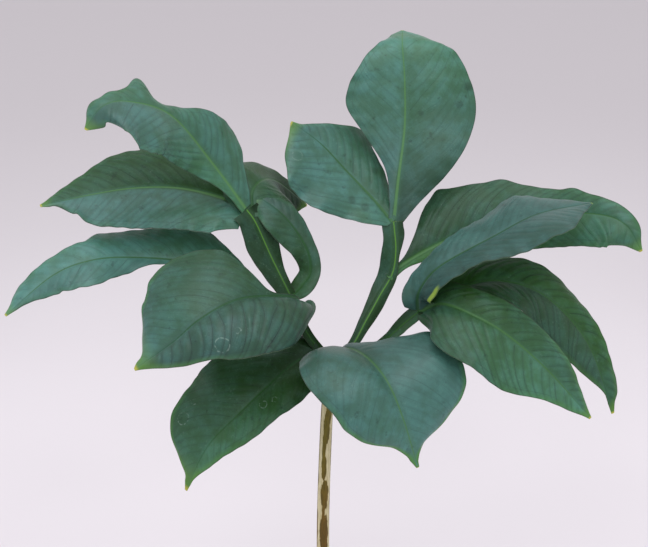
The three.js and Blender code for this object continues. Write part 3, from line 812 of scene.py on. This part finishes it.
leaf = Finish("living_leaf", Specular_IOR_Level=0.2, Specular_Tint=(0.7, 0.9, 1.0, 1.0), Sheen_Weight=0.03,
              Sheen_Roughness=0.5, Sheen_Tint=(0.5, 0.75, 1.0, 1.0), Coat_Roughness=0.45)
under = leaf.kept("underside")
vein = leaf.kept("vein")
from_rib = leaf.kept("from_rib")
from_edge = leaf.kept("from_edge")
from_tip = leaf.kept("from_tip")
rib_width = leaf.kept("rib_width")
pale = leaf.kept("pale_rib").share(0, 1)
quilting = leaf.kept("quilting").share(0, 1.2)
is_branch = rib_width.share(2.25, 2.45)
patches = leaf.noise(60, 3, 0.5)
clouding = leaf.noise(15, 5, 0.6)
pores = leaf.noise(1.2, 3, 0.6)


def own_chance(number):
    """A fixed random share for each whole number of a count, such as a vein's own strength."""
    return leaf.node("ShaderNodeTexWhiteNoise", {"noise_dimensions": "1D"},
                     {"W": leaf.math("ROUND", number)}, output="Value")


def distance_mm(x, y, z):
    """How far a place on the leaf is from a spot, in millimetres."""
    return leaf.node("ShaderNodeVectorMath", {"operation": "DISTANCE"},
                     {0: leaf.place(), 1: (x * MM, y * MM, z * MM)}, output="Value") / MM


# Grey of wax on the face: partly the leaf's own wax and partly painted sheen.
wax_and_sheen_share = leaf.kept("wax_and_painted_sheen") + patches.share(0.35, 0.65) * 0.16 + clouding.share(0.35, 0.65) * 0.24 - 0.2
face = leaf.mix(wax_and_sheen_share, BARE_GREEN, WAX_AND_SHEEN_GREY)
on_blade = (from_rib - rib_width).share(0.2, 3)
vague = clouding.share(0.3, 0.6) * 0.7 + 0.3
# Painted light and shade on the bulges between side veins: lighter on their crests, darker towards the veins.
bulge_light_and_shade = (vein.to_line().share(0.04, 0.42) - 0.5) * on_blade * vague
lit = clouding.share(0.35, 0.65) * 0.26 + 0.87 + bulge_light_and_shade * (0.02 + quilting * 0.3)
side_vein = vein.to_line().share(0.06, 0.0) * on_blade * vague * (own_chance(vein) * 0.7 + 0.3)
fine = vein * FINE_VEINS
fine_vein = fine.to_line().share(0.25, 0.0) * on_blade * own_chance(fine).share(0.3, 1)
margin_vein = abs(from_edge - MARGIN_VEIN_INSET).share(0.7, 0.1) * from_rib.share(12, 18) * vague
wobble = leaf.noise(5, 2, 0.5) * 2.6 - 1.3
rings = leaf.noise(3, 2, 0.5).share(0.42, 0.62) * sum(
    abs(distance_mm(x, y, z) + wobble - radius).share(0.9, 0.1) * strength
    for x, y, z, radius, strength in WATER_RINGS)
spots = leaf.noise(8, 3, 0.6).share(0.62, 0.72) * 0.3 + sum(
    (distance_mm(x, y, z) + wobble).share(radius, radius / 2) * 0.28 for x, y, z, radius in DARK_SPOTS)
# Darkening: real spots and vein lines, and painted shade in the grooves along the side veins, deeper where
# the quilting is stronger.
dark = spots + fine_vein * vague * 0.2 + side_vein * (0.14 + quilting * 0.45) + margin_vein * 0.2
# The tone level brings in the painted light and shade of whole halves, together with the painted bulge light
# and the darkening.
face = leaf.mix(1, face, leaf.kept("green_and_painted_light") * lit * (1 - dark), "MULTIPLY")
flecks = leaf.noise(2.4, 3, 0.7).share(0.56, 0.76) * clouding.share(0.35, 0.6)
face = leaf.mix(flecks * 0.22, face, tint(120, 154, 132))
face = leaf.mix(rings * (1 - under), face, tint(142, 168, 158))
fringe = from_edge.share(7, 0.5) * leaf.kept("fringe")
face = leaf.mix(fringe, face, MARGIN_GREEN)
# Painted highlight: a lime light along the rolled-over edge of a leaflet.
edge_highlight = distance_mm(*ROLLED_EDGE_HIGHLIGHT).share(15, 9) * from_edge.share(4.5, 3)
face = leaf.mix(edge_highlight * 0.85, face, tint(150, 178, 66))
rib_line = (from_rib / (rib_width * (1 - is_branch * 0.7))).share(0.95, 0.4)
rib_glow = from_rib.share(6, 0.5) * pale * 0.25
rib_colour = leaf.mix(pale, MIDRIB_GREEN, leaf.mix(is_branch, PALE_MIDRIB, PALE_BRANCH))
face = leaf.mix(rib_glow * from_tip.share(10, 90), face, tint(78, 120, 76))
face = leaf.mix(rib_line * from_tip.share(6, 70) * (0.75 + is_branch * 0.2 - pale * 0.1), face, rib_colour)
face = leaf.mix(from_tip.share(24, 3) * 0.65, face, TIP_GREEN)
face = leaf.mix(from_tip.share(4, 0.5), face, TIP_YELLOW)
face = leaf.mix(from_edge.share(1.0, 0.1) * from_tip.share(4, 16) * 0.55, face, EDGE_BROWN)
back = leaf.mix(patches.share(0.35, 0.65), tint(92, 126, 92), tint(100, 136, 96))
back = leaf.mix(side_vein * 0.5 + fine_vein * 0.1 + rib_line * 0.7, back, tint(128, 160, 112))
leaf.paint(Base_Color=leaf.mix(under, face, back),
           Roughness=0.32 + clouding * 0.12 + under * 0.2,
           Coat_Weight=leaf.kept("wax_gloss") * (1 - under) * (1 - fringe) * (1 - rib_line * 0.7))
leaf.bump(pores * 0.5 - fine_vein * 0.3 + clouding * 0.9 - side_vein * (0.15 + quilting * 0.3), 0.35)


def grow(name, blade, rows, strips):
    """Makes a blade in the place of its node."""
    made = blade_object(name + "_living", blade, rows, strips, draw)
    made.data.materials.append(leaf.material)
    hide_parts(name)
    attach(made, "root")


# What all ribs have: the radii of the round rib at base and tip, an end that runs on into leaflets, no
# roll, the length of the margin's frills, next to no lime, no fringe, and how much the wax shines. On
# leaflets, lime is how far the yellow-green of the point reaches, and fringe how green the margin turns.
RACHIS_ROWS = 110
RACHIS_STRIPS = 14
RACHIS_HABIT = {"radii": [3.4, 2.5], "end": BLUNT_END, "roll": [0, 0], "frill": 17, "lime": 1e-3, "fringe": 0,
                "gloss": 0.6}


def rachis_half(widths):
    return half(widths, fold=(15, 15), curl=0, wave=(0, 1, 0), quilt=0)


RACHISES = {
    "rachis_left": {
        "rib": [[8, 0, 560], [-13, 5, 587], [-28, 15, 619], [-45, 30, 650], [-59, 41, 679], [-67, 45, 690]],
        "left": rachis_half([2, 2, 3, 6, 12.5, 17, 15]),
        "right": rachis_half([0.8, 0.8, 0.8, 2, 3, 9, 9]),
        "pale_rib": [0.1, 0.8],
        "green_and_painted_light": [[DEEP, DARK], [DARK, DEEP]],
        "wax_and_painted_sheen": [[BARE, THIN], [BARE, BARE]],
    },
    "rachis_centre": {
        "rib": [[10, 3, 558], [27, 14, 570], [40, 28, 589], [53, 42, 608], [64, 52, 625], [67, 60, 645],
                [65, 68, 668]],
        "left": rachis_half([0.8, 0.8, 2, 4.5, 8.5, 11, 9]),
        "right": rachis_half([0.8, 1.5, 2.5, 6, 4.5, 0.8, 6]),
        "pale_rib": [0.5, 0.9],
        "green_and_painted_light": [[DEEP, MIDDLE], [DEEP, DARK]],
        "wax_and_painted_sheen": [[BARE, EVEN], [BARE, THIN]],
    },
    "rachis_right": {
        "rib": [[12, -3, 560], [38, -10, 574], [57, -14, 591], [72, -16, 607], [84, -18, 619]],
        "left": rachis_half([0.8, 0.8, 0.8, 0.8, 1.5, 4, 5]),
        "right": rachis_half([0.8, 1, 1.5, 2, 3, 6, 6]),
        "pale_rib": [0.1, 0.3],
        "green_and_painted_light": [[DEEP, DARK], [DEEP, MIDDLE]],
        "wax_and_painted_sheen": [[BARE, THIN], [BARE, THIN]],
    },
}
for name, blade in RACHISES.items():
    grow(name, {**RACHIS_HABIT, **blade}, RACHIS_ROWS, RACHIS_STRIPS)


# Leaflets: fourteen broad leathery blades with drawn-out points. The midrib is sunk in the upper face
# and stands out below, and side veins curve from it to a vein that runs just inside the margin.
LEAFLET_ROWS = 150
LEAFLET_STRIPS = 28
LEAFLET_HABIT = {"radii": [2.2, 0.45], "end": DRIP_TIP, "roll": [0, 0], "frill": 15, "lime": 0.6,
                 "fringe": 0.15, "gloss": 0.6}
LEAFLETS = {
    "leaflet_left_1": {
        "rib": [[-68, 45, 691], [-96, 42, 735], [-130, 30, 785], [-164, 15, 804], [-187, 2, 805],
                [-202, -8, 787]],
        "left": half([4, 6, 17, 34, 48, 49, 27], fold=[20, 10], wave=[2, 2.5, 0], quilt=0.5,
                     nicks=[[0.8, 3, 0.04], [0.925, -10, 0.02]]),
        "right": half([5, 18, 39, 31, 7, 12, 11], fold=[20, 10], curl=40, quilt=0.5,
                      nicks=[[0.5, -3, 0.05], [0.69, 22, 0.05], [0.86, -2, 0.03]]),
        "pale_rib": [0.9, 0.5],
        "green_and_painted_light": [[PALE, MIDDLE], [FRESH, FRESH]],
        "wax_and_painted_sheen": [[THIN, THICK], [EVEN, EVEN]],
    },
    "leaflet_left_2": {
        "rib": [[-68, 46, 688], [-88, 54, 697], [-128, 64, 703], [-170, 64, 703], [-212, 56, 699],
                [-251, 40, 696]],
        "left": half([18, 37, 41, 45, 41, 34, 6], curl=35, quilt=0.5, lobe=4, nicks=[[0.845, -4, 0.015]]),
        "right": half([6, 22, 36, 43, 43, 23, 10], quilt=0.6),
        "pale_rib": [1, 0.5],
        "green_and_painted_light": [[FRESH, FRESH], [DARK, MIDDLE]],
        "wax_and_painted_sheen": [[EVEN, THICK], [BARE, THIN]],
    },
    "leaflet_left_3": {
        "rib": [[-26, 14, 615], [-50, 22, 617], [-80, 29, 631], [-119, 35, 643], [-165, 28, 651],
                [-203, 14, 655], [-238, 3, 645], [-279, -21, 617]],
        "left": half([4, 6, 6, 4.5, 18, 24, 6], quilt=0.5,
                     nicks=[[0.5, -2, 0.04], [0.68, 3, 0.05], [0.81, -2, 0.012]]),
        "right": half([2, 4, 22, 32, 29, 17, 14],
                      nicks=[[0.15, -3, 0.04], [0.33, 7, 0.05], [0.62, 2, 0.02], [0.68, -3, 0.02]]),
        "pale_rib": [0.3, 0.4],
        "green_and_painted_light": [[PALE, FRESH], [FRESH, PALE]],
        "wax_and_painted_sheen": [[THICK, THICK], [EVEN, THICK]],
    },
    "leaflet_left_4": {
        "rib": [[-19, 8, 603], [-20, -10, 628], [-43, -26, 639], [-75, -45, 644], [-105, -62, 634],
                [-129, -70, 615], [-162, -74, 591]],
        "left": half([8, 10.5, 50, 63, 53, 31, 11], fold=[48, 15], curl=80, quilt=1.1, lean=0.3),
        "right": half([3, 3, 2, 50, 67, 55, 27], fold=[20, 10], quilt=0.45,
                      nicks=[[0.325, -13, 0.055], [0.85, 8, 0.04], [0.945, -7, 0.025]]),
        "lime": 1.2,
        "fringe": 0.5,
        "pale_rib": [0, 0.2],
        "green_and_painted_light": [[DARK, MIDDLE], [DEEP, FRESH]],
        "wax_and_painted_sheen": [[THIN, THICK], [BARE, THICK]],
    },
    "leaflet_left_5": {
        "rib": [[-1, -2, 570], [-23, -14, 568], [-49, -34, 553], [-75, -50, 533], [-102, -58, 505],
                [-122, -60, 462]],
        "left": half([8, 27, 31, 29, 24, 15, 3], fold=[20, 10]),
        "right": half([8, 30, 45, 54, 56, 44, 11], fold=[20, 10]),
        "lime": 1.5,
        "fringe": 0.6,
        "pale_rib": [0.1, 0.3],
        "green_and_painted_light": [[DEEP, PALE], [DEEP, FRESH]],
        "wax_and_painted_sheen": [[BARE, EVEN], [BARE, EVEN]],
    },
    "leaflet_left_6": {
        "rib": [[-62, 43, 684], [-63, 58, 701], [-54, 76, 706], [-40, 98, 695], [-14, 118, 663]],
        "left": half([5, 18, 28, 30, 17, 7.5, 7], fold=[15, 10], curl=25, wave=[1, 3, 0],
                     nicks=[[0.66, -3, 0.05]]),
        "right": half([4, 12, 24, 37, 40, 28, 14], fold=[-5, -15], curl=15, wave=[1, 2.5, 0.3]),
        "pale_rib": [0.2, 0.4],
        "green_and_painted_light": [[MIDDLE, DEEP], [MIDDLE, DEEP]],
        "wax_and_painted_sheen": [[THIN, BARE], [THIN, BARE]],
    },
    "leaflet_left_7": {
        "rib": [[-28, 15, 619], [-19, 20, 627], [-11, 27, 637], [-12, 33, 652], [-21, 40, 668],
                [-34, 47, 683], [-48, 53, 693], [-63, 58, 700]],
        "left": half([4, 7, 9, 14, 19, 20, 12], fold=[20, 10], curl=40, wave=[1, 3, 0], quilt=0.3),
        "right": half([5, 10, 8, 8, 12.5, 13, 8], fold=[20, 10], curl=40, wave=[1, 2.5, 0.3], quilt=0.3),
        "pale_rib": [0.2, 0.1],
        "green_and_painted_light": [[DARK, MIDDLE], [MIDDLE, DARK]],
        "wax_and_painted_sheen": [[BARE, EVEN], [THIN, EVEN]],
    },
    "leaflet_centre_1": {
        "rib": [[65, 69, 667], [69, 85, 701], [75, 108, 744], [75, 124, 784], [73, 141, 812], [74, 170, 816]],
        "left": half([3, 4, 12, 38, 55, 38, 14], fold=[15, 8], curl=20, quilt=0.25,
                     nicks=[[0.63, -2.5, 0.07], [0.85, -2, 0.03]]),
        "right": half([6, 19, 41, 58, 63, 51, 32], fold=[15, 8], quilt=0.25,
                      nicks=[[0.52, 1.5, 0.08], [0.86, -1.5, 0.03]]),
        "end": 0.62,
        "lime": 0.1,
        "fringe": 0,
        "pale_rib": [0.9, 0.6],
        "green_and_painted_light": [[MIDDLE, PALE], [DARK, PALE]],
        "wax_and_painted_sheen": [[THICK, EVEN], [EVEN, EVEN]],
    },
    "leaflet_centre_2": {
        "rib": [[64, 68, 668], [47, 80, 685], [23, 93, 707], [-2, 101, 732], [-28, 104, 751]],
        "left": half([5, 22, 34.5, 49, 53, 54, 34], fold=[15, 8], curl=20, quilt=0.5),
        "right": half([3, 9, 23, 32, 43, 23, 7], fold=[15, 8], quilt=0.5),
        "pale_rib": [0.4, 0.2],
        "green_and_painted_light": [[FRESH, FRESH], [MIDDLE, FRESH]],
        "wax_and_painted_sheen": [[EVEN, THICK], [THIN, THICK]],
    },
    "leaflet_centre_3": {
        "rib": [[60, 50, 621], [76, 60, 631], [108, 72, 645], [154, 82, 660], [207, 74, 673],
                [250, 52, 682], [272, 38, 677], [285, 27, 657]],
        "left": half([2, 5, 40, 38, 25, 17, 10], quilt=0.7,
                     nicks=[[0.17, -3, 0.04], [0.29, 4, 0.025], [0.47, 3, 0.03], [0.69, 3, 0.03]]),
        "right": half([3, 4, 16, 28, 30, 31, 25], quilt=0.6),
        "roll": [-15, -25],
        "pale_rib": [0.7, 0.3],
        "green_and_painted_light": [[DARK, FRESH], [FRESH, FRESH]],
        "wax_and_painted_sheen": [[THIN, EVEN], [BARE, EVEN]],
    },
    "leaflet_right_1": {
        "rib": [[84, -18, 620], [85, -22, 642], [103, -20, 665], [149, -5, 686], [189, 8, 702],
                [239, 30, 703]],
        "left": half([8, 13, 22, 28, 42, 40, 26]),
        "right": half([8, 16, 22, 30, 40, 42, 16]),
        "roll": [20, 30],
        "lime": 0.1,
        "fringe": 0,
        "gloss": 0.3,
        "pale_rib": [0.2, 0.1],
        "green_and_painted_light": [[MIDDLE, MIDDLE], [DARK, MIDDLE]],
        "wax_and_painted_sheen": [[THICK, THICK], [THICK, THICK]],
    },
    "leaflet_right_2": {
        "rib": [[84, -18, 620], [100, -16, 628], [124, -12, 641], [157, -8, 645], [197, -10, 631],
                [235, -25, 592], [258, -45, 532]],
        "left": half([5, 14, 25, 29, 22, 15, 13], fold=[25, 10], curl=40, quilt=0.8),
        "right": half([5, 8, 20, 33, 34, 23, 2.5], fold=[25, 10], quilt=0.7),
        "roll": [15, 0],
        "fringe": 0.3,
        "pale_rib": [0.3, 0.3],
        "green_and_painted_light": [[MIDDLE, MIDDLE], [DEEP, MIDDLE]],
        "wax_and_painted_sheen": [[BARE, THIN], [BARE, EVEN]],
    },
    "leaflet_right_3": {
        "rib": [[85, -20, 620], [105, -32, 634], [133, -48, 630], [161, -58, 616], [196, -66, 586],
                [235, -70, 541]],
        "left": half([5, 18, 22, 25, 25, 20, 9], fold=[25, 10], curl=40, quilt=0.7),
        "right": half([5, 28, 42, 44, 41, 22, 9], fold=[25, 10], quilt=0.7),
        "roll": [-10, -10],
        "fringe": 0.4,
        "pale_rib": [0.4, 0.5],
        "green_and_painted_light": [[DARK, FRESH], [DARK, PALE]],
        "wax_and_painted_sheen": [[BARE, EVEN], [THIN, EVEN]],
    },
    "leaflet_right_4": {
        "rib": [[12, -4, 566], [18, -16, 582], [29, -34, 590], [43, -62, 593], [57, -90, 586],
                [70, -104, 558], [83, -106, 512]],
        "left": half([2, 2, 15, 62, 69, 56, 11], quilt=0.3, lobe=6,
                     nicks=[[0.85, 3, 0.04], [0.965, -2, 0.02]]),
        "right": half([12, 38, 57, 69, 58, 42.5, 10], fold=[66, 14], curl=64, quilt=0.3, lobe=6,
                      nicks=[[0.5, 1, 0.06], [0.68, 2, 0.04], [0.85, -6, 0.05]]),
        "lime": 0.15,
        "fringe": 0.85,
        "gloss": 0.5,
        "pale_rib": [0.2, 0.7],
        "green_and_painted_light": [[DEEP, PALE], [DEEP, PALE]],
        "wax_and_painted_sheen": [[THICK, THICK], [EVEN, THICK]],
    },
}
for name, blade in LEAFLETS.items():
    grow(name, {**LEAFLET_HABIT, **blade}, LEAFLET_ROWS, LEAFLET_STRIPS)


# Studio: a plain pale floor without an edge in sight, broad soft light from above and in front, and
# a camera that looks down on the leaf at 25 degrees. Lamps and camera are placed in metres.
FLOOR_REACH = 30000
PALE_LIGHT = (1.0, 0.985, 1.0)
PANEL_SIZE = 2.0
SKY_POWER = 25
FRONT_POWER = 27
ROOM_STRENGTH = 0.8
CAMERA_PLACE = (0.0017, -1.7282, 1.4538)
CAMERA_TILT = math.radians(90 - 25)
FOCAL_LENGTH = 120
FILM_WIDTH = 36
VIEW_REACH = 100
floor_corners = np.array([[-1, -1, 0], [1, -1, 0], [1, 1, 0], [-1, 1, 0]]) * FLOOR_REACH
floor = add_object("floor", floor_corners, [np.array([[0, 1, 2, 3]])])
ground = Finish("pale_floor", Specular_IOR_Level=0.2)
# Soft pale mottling over the floor.
floor_mottle = ground.noise(620, 2, 0.4)
far = ground.node("ShaderNodeVectorMath", {"operation": "LENGTH"}, {0: ground.place()}, output="Value")
pale = ground.mix(floor_mottle.share(0.35, 0.65), tint(235, 230, 236), tint(230, 225, 231))
# Painted shade: the floor turns darker further from the pot, where less light reaches it.
pale = ground.mix(far.share(0.7, 2.3), pale, tint(206, 201, 206))
ground.paint(Base_Color=pale, Roughness=0.85 + floor_mottle * 0.05)
floor.data.materials.append(ground.material)


def soft_light(name, place, target, power):
    """A square area light that faces its target."""
    lamp = bpy.data.lights.new(name, "AREA")
    lamp.size = PANEL_SIZE
    lamp.energy = power
    lamp.color = PALE_LIGHT
    made = bpy.data.objects.new(name, lamp)
    made.location = place
    heading = np.array(target, float) - np.array(place, float)
    made.rotation_euler = (math.atan2(math.hypot(heading[0], heading[1]), -heading[2]), 0,
                           math.atan2(heading[0], -heading[1]) + math.pi)
    scene.collection.objects.link(made)


soft_light("sky_panel", (0, -0.2, 3.4), (0, 0, 0.3), SKY_POWER)
soft_light("front_panel", (0, -2.0, 3.4), (0, 0, 0.5), FRONT_POWER)
world = bpy.data.worlds.new("pale_room")
world.use_nodes = True
room = world.node_tree.nodes["Background"]
room.inputs["Color"].default_value = (*PALE_LIGHT, 1)
room.inputs["Strength"].default_value = ROOM_STRENGTH
scene.world = world
scene.view_settings.view_transform = "Standard"

lens = bpy.data.cameras.new("camera")
lens.lens = FOCAL_LENGTH
lens.sensor_width = FILM_WIDTH
lens.clip_end = VIEW_REACH
camera = bpy.data.objects.new("camera", lens)
camera.location = CAMERA_PLACE
camera.rotation_euler = (CAMERA_TILT, 0, 0)
scene.collection.objects.link(camera)
scene.camera = camera
